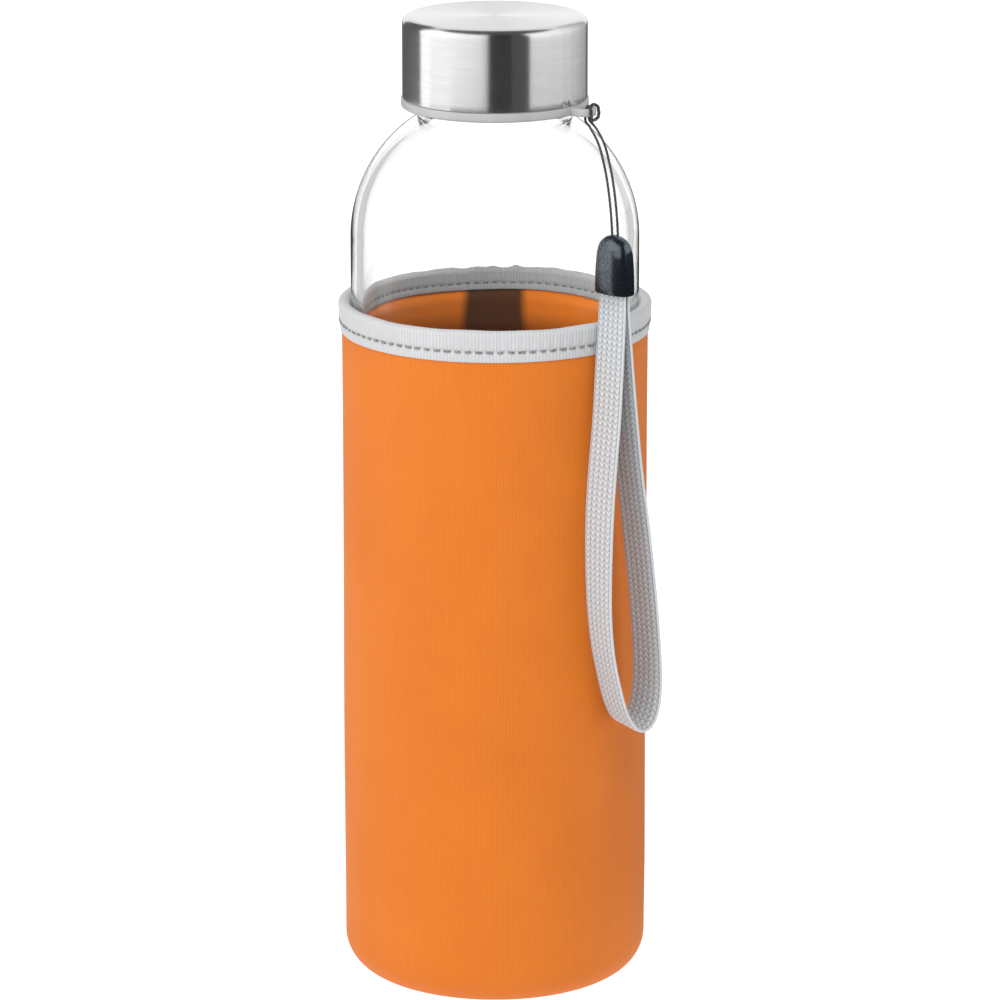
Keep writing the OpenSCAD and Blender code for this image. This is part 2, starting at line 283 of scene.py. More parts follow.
def smooth_path(points, step):
    """A Catmull-Rom curve through the points, cut into lengths of about step."""
    p = [np.array(q, float) for q in points]
    p = [2 * p[0] - p[1]] + p + [2 * p[-1] - p[-2]]
    made = []
    for a, b, c, d in zip(p, p[1:], p[2:], p[3:]):
        count = max(2, int(round(np.linalg.norm(c - b) / step)))
        for t in np.arange(count) / count:
            made.append(0.5 * (2 * b + (c - a) * t + (2 * a - 5 * b + 4 * c - d) * t**2
                               + (3 * b - a - 3 * c + d) * t**3))
    made.append(p[-2])
    return np.array(made)


def path_frames(path, first):
    """Unit tangents and two cross directions that turn as little as possible along the path."""
    ahead = np.gradient(path, axis=0)
    ahead /= np.linalg.norm(ahead, axis=1)[:, None]
    side = np.zeros_like(path)
    now = np.array(first, float)
    for i, t in enumerate(ahead):
        now = now - (now @ t) * t
        now /= np.linalg.norm(now)
        side[i] = now
    return ahead, side, np.cross(ahead, side)


def distances(path):
    """How far along the path each of its points lies."""
    return np.concatenate([[0], np.cumsum(np.linalg.norm(np.diff(path, axis=0), axis=1))])


def path_length(path):
    return float(np.linalg.norm(np.diff(path, axis=0), axis=1).sum())


def tube_faces(rings, sides):
    """Faces of a tube of rings, closed at both ends."""
    faces = grid_faces(rings, sides, False, True)
    faces.append(tuple(range(sides))[::-1])
    faces.append(tuple((rings - 1) * sides + k for k in range(sides)))
    return faces


def sweep_parts(path, first, section):
    """Points and faces of a closed tube. section(distance along the path, index) gives the ring there,
    as (side, up) pairs."""
    path = np.array(path, float)
    _, side, up = path_frames(path, first)
    along = distances(path)
    rings = [np.array(section(along[i], i), float) for i in range(len(path))]
    points = [path[i] + q[0] * side[i] + q[1] * up[i] for i in range(len(path)) for q in rings[i]]
    return points, tube_faces(len(path), len(rings[0]))


def round_ring(radius, sides):
    turns = np.arange(sides) * FULL_TURN / sides
    return np.stack([radius * np.cos(turns), radius * np.sin(turns)], 1)


def thread_parts(path, radius, first=(0, 0, 1), sides=8):
    """A short sewn thread with rounded ends."""
    blunt = 0.45
    ends = (0, len(path) - 1)
    return sweep_parts(path, first, lambda _, i: round_ring(radius * (blunt if i in ends else 1), sides))


def polar(reach, across, turn):
    """A point at a reach from the axis in direction turn, and so far across that direction."""
    return Vector((reach * math.cos(turn) - across * math.sin(turn),
                   reach * math.sin(turn) + across * math.cos(turn), 0))


# ---------------------------------------------------------------- material helpers


class Graph:
    """A material's nodes, made from left to right."""

    def __init__(self, name):
        self.material = bpy.data.materials.new(name)
        self.material.use_nodes = True
        self.tree = self.material.node_tree
        self.tree.nodes.clear()
        self.coordinates = self.tree.nodes.new("ShaderNodeTexCoord")

    def node(self, kind, inputs=None, **settings):
        made = self.tree.nodes.new(kind)
        for key, value in settings.items():
            setattr(made, key, value)
        for key, value in (inputs or {}).items():
            if isinstance(value, bpy.types.NodeSocket):
                self.tree.links.new(value, made.inputs[key])
            else:
                made.inputs[key].default_value = value
        return made

    def place(self):
        return self.coordinates.outputs["Object"]

    def math(self, operation, a, b=0.0, c=0.0):
        made = self.node("ShaderNodeMath", {0: a, 1: b, 2: c}, operation=operation)
        return made.outputs[0]

    def split(self, vector):
        made = self.node("ShaderNodeSeparateXYZ", {0: vector})
        return made.outputs[0], made.outputs[1], made.outputs[2]

    def around(self):
        """Angle round the Z axis in radians, and height."""
        x, y, z = self.split(self.place())
        return self.math("ARCTAN2", y, x), z

    def from_axis(self):
        """Distance from the Z axis."""
        x, y, _ = self.split(self.place())
        return self.math("SQRT", self.math("ADD", self.math("MULTIPLY", x, x), self.math("MULTIPLY", y, y)))

    def noise(self, vector, scale, detail=2.0, roughness=0.5):
        made = self.node("ShaderNodeTexNoise", {"Vector": vector, "Scale": scale, "Detail": detail,
                                                "Roughness": roughness})
        return made.outputs["Fac"]

    def drawn_noise(self, u, v, scale_u, scale_v, layer=0, detail=3):
        """Noise over two values, each with its own scale."""
        place = self.node("ShaderNodeCombineXYZ", {0: self.math("MULTIPLY", u, scale_u),
                                                   1: self.math("MULTIPLY", v, scale_v), 2: layer})
        return self.noise(place.outputs[0], 1.0, detail)

    def ramp(self, factor, stops):
        made = self.node("ShaderNodeValToRGB", {0: factor})
        elements = made.color_ramp.elements
        while len(elements) < len(stops):
            elements.new(0.5)
        for element, (at, colour) in zip(elements, stops):
            element.position = at
            element.color = (*colour, 1)
        return made.outputs[0]

    def bump(self, height, distance, strength=1.0, normal=None):
        inputs = {"Height": height, "Distance": distance, "Strength": strength}
        if normal is not None:
            inputs["Normal"] = normal
        return self.node("ShaderNodeBump", inputs).outputs[0]

    def finish(self, inputs):
        shader = self.node("ShaderNodeBsdfPrincipled", inputs)
        self.node("ShaderNodeOutputMaterial", {"Surface": shader.outputs[0]})
        return self.material


def dress(piece, material):
    piece.data.materials.clear()
    piece.data.materials.append(material)


def glass_material():
    """Clear glass. The low specular tint weakens images of the pale floor in its inner surface."""
    g = Graph("clear_glass")
    flow = g.noise(g.place(), 60, 2)
    tint = g.ramp(flow, [(0.3, (0.990, 0.996, 0.994)), (0.7, (0.996, 1.0, 0.998))])
    return g.finish({
        "Base Color": tint, "Roughness": 0.0, "IOR": 1.5, "Transmission Weight": 1.0,
        "Specular Tint": (0.15, 0.15, 0.15, 1),
        "Normal": g.bump(flow, 0.02 * MM, 0.25),
    })


def steel_material():
    g = Graph("brushed_steel")
    angle, z = g.around()
    # The brush goes round, so the marks change quickly up the side and out along the top.
    lane = g.math("ADD", z, g.from_axis())
    fine = g.drawn_noise(angle, lane, 3.0, 7000)
    broad = g.drawn_noise(angle, lane, 1.3, 1100, layer=4, detail=2)
    marks = g.math("ADD", g.math("MULTIPLY", fine, 0.65), g.math("MULTIPLY", broad, 0.35))
    colour = g.ramp(marks, [(0.30, (0.62, 0.62, 0.615)), (0.70, (0.72, 0.72, 0.715))])
    rough = g.math("MULTIPLY_ADD", marks, 0.10, 0.17)
    tangent = g.node("ShaderNodeTangent", direction_type="RADIAL", axis="Z").outputs[0]
    # The highlight spreads across the brush marks, so up and down the side.
    return g.finish({
        "Base Color": colour, "Metallic": 1.0, "Roughness": rough, "Anisotropic": 0.85,
        "Anisotropic Rotation": 0.25, "Tangent": tangent, "Normal": g.bump(marks, 0.006 * MM, 0.4),
    })


def plastic_material(name, dark, light, roughness, grain, gloss=0.45, ior=1.5, tint=(1, 1, 1, 1)):
    """Moulded plastic with a fine grain and a slow change of tone."""
    g = Graph(name)
    speck = g.noise(g.place(), 2600, 3)
    cloud = g.noise(g.place(), 120, 2)
    colour = g.ramp(g.math("ADD", g.math("MULTIPLY", speck, 0.4), g.math("MULTIPLY", cloud, 0.6)),
                    [(0.35, dark), (0.65, light)])
    return g.finish({
        "Base Color": colour, "Roughness": g.math("MULTIPLY_ADD", speck, 0.18, roughness),
        "Normal": g.bump(speck, grain, 0.6), "Specular IOR Level": gloss, "IOR": ior,
        "Specular Tint": tint,
    })


def cloth_material(name, dark, light, ribs, rib_share, depth, sheen, painted_inner_shade=None):
    """Fine cloth round the Z axis with ribs that run up and down. The last argument paints shade and
    light on the inner side of the wall: half the width of a strip of painted shade up the back, the
    strip's colour, and the painted colours of the rest: shaded deep down, lit brighter at the top."""
    g = Graph(name)
    angle, z = g.around()
    wander = g.noise(g.place(), 45, 2)
    fibre = g.noise(g.place(), 4200, 3, 0.65)
    streak = g.drawn_noise(angle, z, ribs / 2.2, 160)
    rib = g.math("SINE", g.math("MULTIPLY_ADD", angle, ribs, g.math("MULTIPLY", wander, 1.5)))
    rib = g.math("MULTIPLY", rib, g.math("MULTIPLY", streak, rib_share))
    relief = g.math("ADD", rib, g.math("MULTIPLY", fibre, 0.6))
    tone = g.math("MULTIPLY_ADD", relief, 0.22, g.math("MULTIPLY_ADD", streak, 0.30, 0.14))
    tone = g.math("ADD", tone, g.math("MULTIPLY", wander, 0.35))
    colour = g.ramp(tone, [(0.25, dark), (0.75, light)])
    if painted_inner_shade:
        # Painted shade inside the wall: a dark strip up the back, darker deep down, painted light at the top.
        half, painted_strip_shade, painted_deep_shade, painted_top_light = painted_inner_shade
        x, y, _ = g.split(g.place())
        inner = g.math("MULTIPLY", g.math("LESS_THAN", g.from_axis(), (SLEEVE_IN + SLEEVE_R) / 2),
                       g.math("GREATER_THAN", z, 2 * SLEEVE_CORNER))
        # Painted shade: a soft-edged dark strip up the back of the inner wall.
        edge = g.math("MULTIPLY_ADD", wander, 0.4, g.math("DIVIDE", g.math("ABSOLUTE", x), half))
        strip = g.node("ShaderNodeMapRange", {"Value": edge, "From Min": 1.05, "From Max": 1.35,
                                              "To Min": 1.0, "To Max": 0.0}).outputs[0]
        back = g.math("GREATER_THAN", y, 0.0)
        painted_strip_share = g.math("MULTIPLY", g.math("MULTIPLY", inner, back), strip)
        # Painted shade and light: the inner wall is darker deep down and brighter at the top.
        down = g.node("ShaderNodeMapRange", {"Value": z, "From Min": BINDING_LOW_Z - 8.5 * MM,
                                             "From Max": BINDING_LOW_Z - 3 * MM}).outputs[0]
        painted_depth_shade = g.ramp(down, [(0, painted_deep_shade), (1, painted_top_light)])
        for share, other in ((inner, painted_depth_shade), (painted_strip_share, (*painted_strip_shade, 1))):
            mixer = g.node("ShaderNodeMix", {0: share, 6: colour, 7: other}, data_type="RGBA")
            colour = mixer.outputs[2]
    return g.finish({
        "Base Color": colour, "Roughness": g.math("MULTIPLY_ADD", fibre, 0.12, 0.70),
        "Specular IOR Level": 0.45, "Sheen Weight": sheen, "Sheen Roughness": 0.45,
        "Normal": g.bump(relief, depth, 0.8),
    })


def thread_material(name, dark, light):
    g = Graph(name)
    ply = g.noise(g.place(), 2400, 2)
    return g.finish({
        "Base Color": g.ramp(ply, [(0.35, dark), (0.65, light)]), "Roughness": 0.7,
        "Sheen Weight": 0.2, "Normal": g.bump(ply, 0.05 * MM, 0.6),
    })


def strap_material():
    """Knitted tape with painted shade between its loops, darker where the relief is low.
    Reads the mesh's own layers lay and relief.
    """
    g = Graph("strap_weave")
    u, v, _ = g.split(g.node("ShaderNodeUVMap", uv_map="lay").outputs[0])
    fibre = g.drawn_noise(u, v, 3500, 3500)
    depth = g.node("ShaderNodeAttribute", attribute_name="relief").outputs["Fac"]
    # Painted shade: the colour darkens where the relief is low, between the loops.
    tone = g.math("MULTIPLY_ADD", fibre, 0.3, g.math("MULTIPLY", depth, 0.7))
    colour = g.ramp(tone, [(0.10, (0.17, 0.18, 0.19)), (0.45, (0.46, 0.485, 0.505)),
                           (0.85, (0.65, 0.68, 0.70))])
    return g.finish({
        "Base Color": colour, "Roughness": 0.62, "Sheen Weight": 0.25, "Sheen Roughness": 0.4,
        "Specular IOR Level": 0.35, "Normal": g.bump(fibre, 0.04 * MM, 0.5),
    })


CLEAR_GLASS = glass_material()
STEEL = steel_material()
GREY_PLASTIC = plastic_material("grey_plastic", (0.36, 0.365, 0.37), (0.42, 0.425, 0.43), 0.34,
                                0.01 * MM)
BLACK_PLASTIC = plastic_material("black_plastic", (0.001, 0.002, 0.004), (0.003, 0.005, 0.008), 0.17,
                                 0.006 * MM, gloss=1.0, ior=1.7, tint=(0.78, 0.90, 1.0, 1))
SILICONE = plastic_material("silicone", (0.72, 0.72, 0.71), (0.82, 0.82, 0.81), 0.5, 0.01 * MM)
# The inner side gets painted shade, a dark strip up the back and darker deep down, and painted light at the
# top.
SLEEVE_CLOTH = cloth_material(
    "sleeve_cloth", (0.57, 0.124, 0.002), (0.70, 0.180, 0.006), ribs=300, rib_share=0.5, depth=0.04 * MM,
    sheen=0.02, painted_inner_shade=(7.3 * MM, (0.11, 0.030, 0.004), (0.30, 0.06, 0.003), (0.98, 0.235, 0.006)))
BINDING_CLOTH = cloth_material(
    "binding_cloth", (0.43, 0.435, 0.445), (0.58, 0.585, 0.595), ribs=STITCHES * 3, rib_share=1.1,
    depth=0.06 * MM, sheen=0.1)
GREY_THREAD = thread_material("grey_thread", (0.13, 0.135, 0.14), (0.27, 0.275, 0.28))
ORANGE_THREAD = thread_material("orange_thread", (0.60, 0.13, 0.01), (0.85, 0.23, 0.03))
STRING_CORD = thread_material("string_cord", (0.015, 0.015, 0.016), (0.055, 0.055, 0.057))
STRAP_WEAVE = strap_material()

# ---------------------------------------------------------------- lanyard


def at_lug(p, side=1):
    """A point of the hitch, on one side of the lug or the other."""
    return polar(p[0], side * p[1], LUG_TURN) + Vector((0, 0, TOP_Z + p[2]))


def strand(p, side):
    """A point of one strand, or of the line between the two where side is 0."""
    return Vector((p[0], p[1], TOP_Z + p[2])) + side * STRAND_HALF * STRAND_DIR


def make_string():
    """One string: up from the ferrule, hitched round the lug, and back down into the ferrule."""
    up = [strand(p, -1) for p in reversed(LEAD + DROP)]
    hitch = [at_lug(p, -1) for p in reversed(HITCH)] + [at_lug(p) for p in HITCH[1:]]
    down = [strand(p, 1) for p in LEAD + DROP]
    path = smooth_path(up + hitch + down, 0.15 * MM)
    twist = FULL_TURN / (1.1 * MM)
    turns = np.arange(12) * FULL_TURN / 12
    middle = path_length(path) / 2

    def ring(along, _):
        # Thicker over the hitch, where the real string is knotted.
        knot = 1 + 0.35 * math.exp(-((along - middle) / (8 * MM)) ** 4)
        bulge = 0.5 * STRING_D * knot * (0.90 + 0.10 * np.cos(3 * turns - twist * along))
        return np.stack([bulge * np.cos(turns), bulge * np.sin(turns)], 1)

    string = new_object("string", *sweep_parts(path, STRAND_DIR, ring))
    dress(string, STRING_CORD)
    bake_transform(string)
    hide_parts("lanyard_knot", "lanyard_string")


def superoval(width, thickness, count, power=2.6):
    """An oval that gets squarer with a higher power."""
    turns = np.arange(count) * FULL_TURN / count
    c, s = np.cos(turns), np.sin(turns)
    return np.stack([width / 2 * np.sign(c) * np.abs(c) ** (2 / power),
                     thickness / 2 * np.sign(s) * np.abs(s) ** (2 / power)], 1)


def make_ferrule():
    """A bell-shaped clamp: domed top, straight flanks that widen a little, and a slot for the strap."""
    count = 64
    low, high = ferrule_low.z, ferrule_high.z
    height = high - low
    slot_w, slot_t = STRAP_W + 0.2 * MM, 2 * STRAP_T + 0.3 * MM
    rings = []

    def ring(width, thickness, z, power=2.6):
        rings.append([(q[0], q[1], z) for q in superoval(width, thickness, count, power)])

    ring(slot_w, slot_t, low + FERRULE_SLOT_H, 6)
    ring(slot_w, slot_t, low + 0.3 * MM, 6)
    ring(slot_w + 0.15 * MM, slot_t + 0.3 * MM, low, 5)
    ring(FERRULE_W - 0.35 * MM, FERRULE_T - 0.5 * MM, low)
    ring(FERRULE_W - 0.1 * MM, FERRULE_T - 0.1 * MM, low + 0.15 * MM)
    dome, waist = 0.70, 0.91
    for t in np.linspace(0.03, dome, 10):
        share = 1 - (1 - waist) * (t / dome) ** 2.6
        ring(FERRULE_W * share, FERRULE_T * share, low + t * height)
    for a in np.radians(np.linspace(6, 86, 16)):
        share = waist * math.cos(a)
        ring(FERRULE_W * share, FERRULE_T * share, low + (dome + (1 - dome) * math.sin(a)) * height, 2.3)
    points = [p for r in rings for p in r]
    faces = grid_faces(len(rings), count, False, True)
    for r, z in ((0, low + FERRULE_SLOT_H), (len(rings) - 1, high)):
        middle = len(points)
        points.append((0, 0, z))
        for j in range(count):
            k = (j + 1) % count
            a, b = r * count + j, r * count + k
            faces.append((middle, b, a) if r == 0 else (middle, a, b))
    placed = [polar(STRAP_REACH + p[0], p[1], STRAP_TURN) + Vector((0, 0, p[2])) for p in points]
    ferrule = new_object("ferrule_shell", placed, faces)
    dress(ferrule, BLACK_PLASTIC)
    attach(ferrule, "lanyard")
    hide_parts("ferrule")
    return ferrule


def make_strap(ferrule):
    """A flat knitted tape: columns of slanted loops that meet in chevrons, with a firm edge."""
    path = smooth_path([polar(STRAP_REACH, p[0], STRAP_TURN) + Vector((0, 0, TOP_Z + p[1]))
                        for p in STRAP_PATH], 0.24 * MM)
    across, thick = 44, 3
    columns, loop, selvedge = 5, 1.3 * MM, 0.05
    half = STRAP_W / 2
    flat = np.linspace(-1, 1, across)
    turn = [math.pi * (i + 1) / (thick + 1) for i in range(thick)]
    # Once round the tape: one face, an edge, the other face, the other edge.
    ring_u = np.concatenate([flat, [1 + 0.05 * math.sin(a) for a in turn],
                             flat[::-1], [-1 - 0.05 * math.sin(a) for a in turn]])
    ring_side = np.concatenate([np.ones(across), [math.cos(a) for a in turn],
                                -np.ones(across), [-math.cos(a) for a in turn]])
    _, side, up = path_frames(path, polar(1, 0, STRAP_TURN))
    along = distances(path)
    share = along / along[-1]
    # The near leg turns a little towards its loop's end, and the tape is pinched where it is clamped.
    twist = STRAP_TWIST * np.exp(-((share - 0.43) / 0.12) ** 2)
    side, up = (np.cos(twist)[:, None] * side + np.sin(twist)[:, None] * up,
                np.cos(twist)[:, None] * up - np.sin(twist)[:, None] * side)
    pinch = 1 - 0.08 * np.exp(-(np.minimum(along, along[-1] - along) / (16 * MM)) ** 2)

    u = np.clip(ring_u, -1, 1)[None, :]
    s = along[:, None]
    cell = (u / (1 - selvedge) * 0.5 + 0.5) * columns
    inside = np.clip(cell - np.floor(np.clip(cell, 0, columns - 1e-6)), 0, 1)
    slant = np.abs(inside - 0.5) * 2
    loops = np.cos(FULL_TURN * (s / loop + 0.75 * slant))
    groove = np.sin(math.pi * inside) ** 0.5
    plain = np.clip((np.abs(ring_u)[None, :] - (1 - selvedge)) / 0.04, 0, 1)
    relief = groove * (0.62 + 0.38 * loops) * (1 - plain) + 0.72 * plain
    edge = 1 - 0.25 * np.abs(u) ** 8
    thickness = STRAP_T / 2 * edge * (0.66 + 0.34 * relief)
    wave = 1 + 0.010 * np.sin(s / (7 * MM)) + 0.006 * np.cos(FULL_TURN * s / loop)
    offset_side = ring_u[None, :] * (half * 0.95) * wave * pinch[:, None]
    offset_up = ring_side[None, :] * thickness
    points = (path[:, None, :] + offset_side[..., None] * side[:, None, :]
              + offset_up[..., None] * up[:, None, :])
    rows, sides = len(path), len(ring_u)
    flat_u = np.concatenate([ring_u, [ring_u[0]]]) * half
    uvs = []
    for i in range(rows - 1):
        for j in range(sides):
            a, b = flat_u[j], flat_u[(j + 1) % sides]
            uvs += [(a, along[i]), (b, along[i]), (b, along[i + 1]), (a, along[i + 1])]
    uvs += [(0, 0)] * (2 * sides)
    strap = new_object("strap", points.reshape(-1, 3), tube_faces(rows, sides), uvs)
    layer = strap.data.attributes.new("relief", "FLOAT", "POINT")
    layer.data.foreach_set("value", relief.astype(np.float32).ravel())
    dress(strap, STRAP_WEAVE)
    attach(strap, "lanyard")
    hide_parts("lanyard_strap")


make_string()
make_strap(make_ferrule())

# ---------------------------------------------------------------- glass bottle


def flare(r, throat_r, fillet):
    """Where a domed shoulder of radius r turns through a fillet into a throat: the fillet's centre
    and the angle of the point where it leaves the dome."""
    centre_r = throat_r + fillet
    rise = math.sqrt((r + fillet) ** 2 - centre_r ** 2)
    return centre_r, SHOULDER_Z + rise, math.degrees(math.atan2(rise, centre_r))


def helix_height(z, angle, low_z, turns, half_width):
    """From 0 to 1, how far a helical ridge stands up at each point, fading out at its two ends."""
    height = np.zeros_like(z)
    for k in range(int(turns) + 1):
        turn = angle / FULL_TURN + k
        middle = low_z + THREAD_LEAD * turn
        fade = np.clip(np.minimum(turn, turns - turn) / 0.12, 0, 1)
        gap = np.abs(z - middle) / half_width
        height = np.maximum(height, fade * np.clip(1.6 * (1 - gap ** 2), 0, 1))
    return height


def make_bottle():
    lip = (NECK_R - MOUTH_R) / 2
    inner_r = GLASS_R - GLASS_WALL
    floor_z = FOOT_Z + GLASS_FLOOR
    out_r, out_z, out_turn = flare(GLASS_R, NECK_R, NECK_FILLET)
    in_r, in_z, in_turn = flare(inner_r, MOUTH_R, MOUTH_FILLET)
    outline = [(0, FOOT_Z + PUNT_H)]
    outline += [(PUNT_R * t, FOOT_Z + PUNT_H * (1 - t * t)) for t in np.linspace(0.1, 1, 10)]
    outline += arc(GLASS_R - HEEL, FOOT_Z + HEEL, HEEL, -90, 0, 16)
    outline += line((GLASS_R, FOOT_Z + HEEL), (GLASS_R, SHOULDER_Z), 24)
    outline += arc(0, SHOULDER_Z, GLASS_R, 0, out_turn, 48)
    outline += arc(out_r, out_z, NECK_FILLET, 180 + out_turn, 180, 10)[1:]
    outline += line((NECK_R, out_z), (NECK_R, LIP_Z - lip), 70)
    outline += arc(NECK_R - lip, LIP_Z - lip, lip, 0, 180, 20)
    outline += line((MOUTH_R, LIP_Z - lip), (MOUTH_R, in_z), 16)
    outline += arc(in_r, in_z, MOUTH_FILLET, 180, 180 + in_turn, 12)
    outline += arc(0, SHOULDER_Z, inner_r, in_turn, 0, 48)[1:]
    outline += line((inner_r, SHOULDER_Z), (inner_r, floor_z + INNER_HEEL), 24)
    outline += arc(inner_r - INNER_HEEL, floor_z + INNER_HEEL, INNER_HEEL, 0, -90, 14)
    outline += [(inner_r - INNER_HEEL - 4 * MM * i, floor_z) for i in range(1, 6)]
    outline += [(0, floor_z)]

    def shape(r, z, angle):
        on_neck = (np.abs(r - NECK_R) < 0.01 * MM) & (z > out_z)
        ridge = helix_height(z, angle, NECK_THREAD_Z, NECK_TURNS, 1.15 * MM) * THREAD_H
        # Blown glass is a little uneven inside: slow waves a few hundredths of a millimetre high.
        waves = np.sin(3 * angle + 90 * z) + np.sin(5 * angle - 140 * z + 1)
        inside = (r < GLASS_R - 1.5 * MM) & (r > MOUTH_R + 1 * MM) & (z > floor_z + 2 * MM) & ~on_neck
        return r + np.where(on_neck, ridge, 0) + np.where(inside, waves * 0.03 * MM, 0), z

    bottle = lathe("bottle", outline, 256, shape)
    bottle.visible_shadow = False
    dress(bottle, CLEAR_GLASS)
    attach(bottle, "bottle")
    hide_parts("bottle_glass")


make_bottle()

# ---------------------------------------------------------------- cap


def make_shell():
    inner_r = CAP_R - SHELL_WALL
    inner_edge = SHELL_EDGE - SHELL_WALL
    hem = SHELL_WALL / 2
    outline = [(0, TOP_Z - SHELL_WALL)]
    outline += line((0, TOP_Z - SHELL_WALL), (inner_r - inner_edge, TOP_Z - SHELL_WALL), 6)
    outline += arc(inner_r - inner_edge, TOP_Z - SHELL_EDGE, inner_edge, 90, 0, 10)
    outline += line((inner_r, TOP_Z - SHELL_EDGE), (inner_r, SHELL_LOW_Z + hem), 6)
    outline += arc(CAP_R - hem, SHELL_LOW_Z + hem, hem, 180, 360, 9)
    outline += line((CAP_R, SHELL_LOW_Z + hem), (CAP_R, TOP_Z - SHELL_EDGE), 12)
    outline += arc(CAP_R - SHELL_EDGE, TOP_Z - SHELL_EDGE, SHELL_EDGE, 0, 90, 16)
    outline += line((CAP_R - SHELL_EDGE, TOP_Z), (0, TOP_Z), 12)
    outline += [(0, TOP_Z)]
    shell = lathe("steel_shell", outline, 256)
    dress(shell, STEEL)
    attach(shell, "cap")
    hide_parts("cap_shell")


def lug_parts():
    """The lug: a flat tab with a round end, a hole and softened edges, standing out from the band."""
    end_points = 32
    soft = 0.35 * MM
    root = BAND_R - 1.2 * MM

    def outer(inset):
        end = LUG_END - inset
        half = [(LUG_REACH + end * math.cos(a), end * math.sin(a))
                for a in np.linspace(-math.pi / 2, math.pi / 2, end_points)]
        back = [(root, end * (1 - 2 * (i + 1) / 9)) for i in range(8)]
        lower = [(LUG_REACH + (root - LUG_REACH) * i / 4, -end) for i in (3, 2, 1)]
        upper = [(LUG_REACH + (root - LUG_REACH) * i / 4, end) for i in (1, 2, 3)]
        return half + upper + [(root, end)] + back[:-1] + [(root, -end)] + lower

    def hole(inset):
        ring = outer(0)
        radius = LUG_HOLE_R + inset
        middle = LUG_REACH + 0.1 * MM
        turns = [math.atan2(q[1], q[0] - middle) for q in ring]
        return [(middle + radius * math.cos(a), radius * math.sin(a)) for a in turns]

    low, high = BAND_LOW_Z, BAND_LOW_Z + LUG_T
    out = [math.radians(a) for a in (0, 30, 60, 90)]
    loops = []
    for edge, z, way, turns in ((outer, low, 1, out), (outer, high, -1, out[::-1]),
                                (hole, high, -1, out), (hole, low, 1, out[::-1])):
        loops += [(edge(soft * (1 - math.sin(a))), z + way * soft * (1 - math.cos(a))) for a in turns]
    sides = len(loops[0][0])
    points = [tuple(polar(q[0], q[1], LUG_TURN) + Vector((0, 0, z))) for ring, z in loops for q in ring]
    return points, grid_faces(len(loops), sides, True, True)


def make_liner():
    top_z = liner_high.z
    boss_z = seal_high.z - BOSS_H
    soft = 0.3 * MM
    outline = [(0, boss_z)]
    outline += line((0, boss_z), (BOSS_R - soft, boss_z), 4)
    outline += arc(BOSS_R - soft, boss_z + soft, soft, -90, 0, 5)
    outline += [(BOSS_R, seal_high.z)]
    outline += line((BOSS_R, seal_high.z), (LINER_BORE, seal_high.z), 4)
    outline += [(LINER_BORE, seal_high.z)]
    outline += line((LINER_BORE, seal_high.z), (LINER_BORE, BAND_LOW_Z + 0.4 * MM), 90)
    outline += arc(LINER_BORE + 0.4 * MM, BAND_LOW_Z + 0.4 * MM, 0.4 * MM, 180, 270, 6)
    outline += arc(BAND_R - BAND_EDGE, BAND_LOW_Z + BAND_EDGE, BAND_EDGE, -90, 0, 8)
    outline += [(BAND_R, SHELL_LOW_Z - 0.25 * MM)]
    outline += arc(BAND_R - 0.2 * MM, SHELL_LOW_Z - 0.25 * MM, 0.2 * MM, 0, 90, 4)[1:]
    outline += [(LINER_R, SHELL_LOW_Z - 0.05 * MM)]
    outline += line((LINER_R, SHELL_LOW_Z), (LINER_R, top_z - LINER_EDGE), 6)
    outline += arc(LINER_R - LINER_EDGE, top_z - LINER_EDGE, LINER_EDGE, 0, 90, 8)
    outline += [(0, top_z)]

    def shape(r, z, angle):
        on_bore = np.abs(r - LINER_BORE) < 0.01 * MM
        ridge = helix_height(z, angle, CAP_THREAD_Z, CAP_TURNS, 0.9 * MM)
        broken = np.clip(4 * np.sin(4 * angle + 0.9) + 2.6, 0, 1)
        return r - np.where(on_bore, ridge * broken * 1.25 * MM, 0), z

    shell = Shell()
    shell.add(*lathe_parts(outline, 256, shape))
    shell.add(*lug_parts())
    liner = shell.make("threaded_liner")
    dress(liner, GREY_PLASTIC)
    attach(liner, "cap")
    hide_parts("cap_liner")


def make_seal():
    low, high = seal_low.z, seal_high.z
    soft = 0.3 * MM
    outline = arc(SEAL_R - soft, low + soft, soft, -90, 0, 5)
    outline += arc(SEAL_R - soft, high - soft, soft, 0, 90, 5)
    outline += arc(SEAL_BORE + soft, high - soft, soft, 90, 180, 5)
    outline += arc(SEAL_BORE + soft, low + soft, soft, 180, 270, 5)
    # A shallow groove where the glass lip has pressed into the ring.
    outline += [(SEAL_BORE + 1.2 * MM, low), (SEAL_BORE + 1.8 * MM, low + 0.12 * MM),
                (SEAL_R - 1.8 * MM, low + 0.12 * MM), (SEAL_R - 1.2 * MM, low)]
    seal = lathe("seal_ring", outline, 128)
    dress(seal, SILICONE)
    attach(seal, "seal")
    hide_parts("cap_seal")


make_shell()
make_liner()
make_seal()

# ---------------------------------------------------------------- sleeve


def slow_waves(angle, z):
    """From about -1 to 1: the slight unevenness of foam cloth pulled over a bottle."""
    return (0.5 * np.sin(2 * angle + 31 * z + 0.4) + 0.3 * np.sin(5 * angle - 47 * z + 2.1)
            + 0.2 * np.sin(9 * angle + 83 * z))


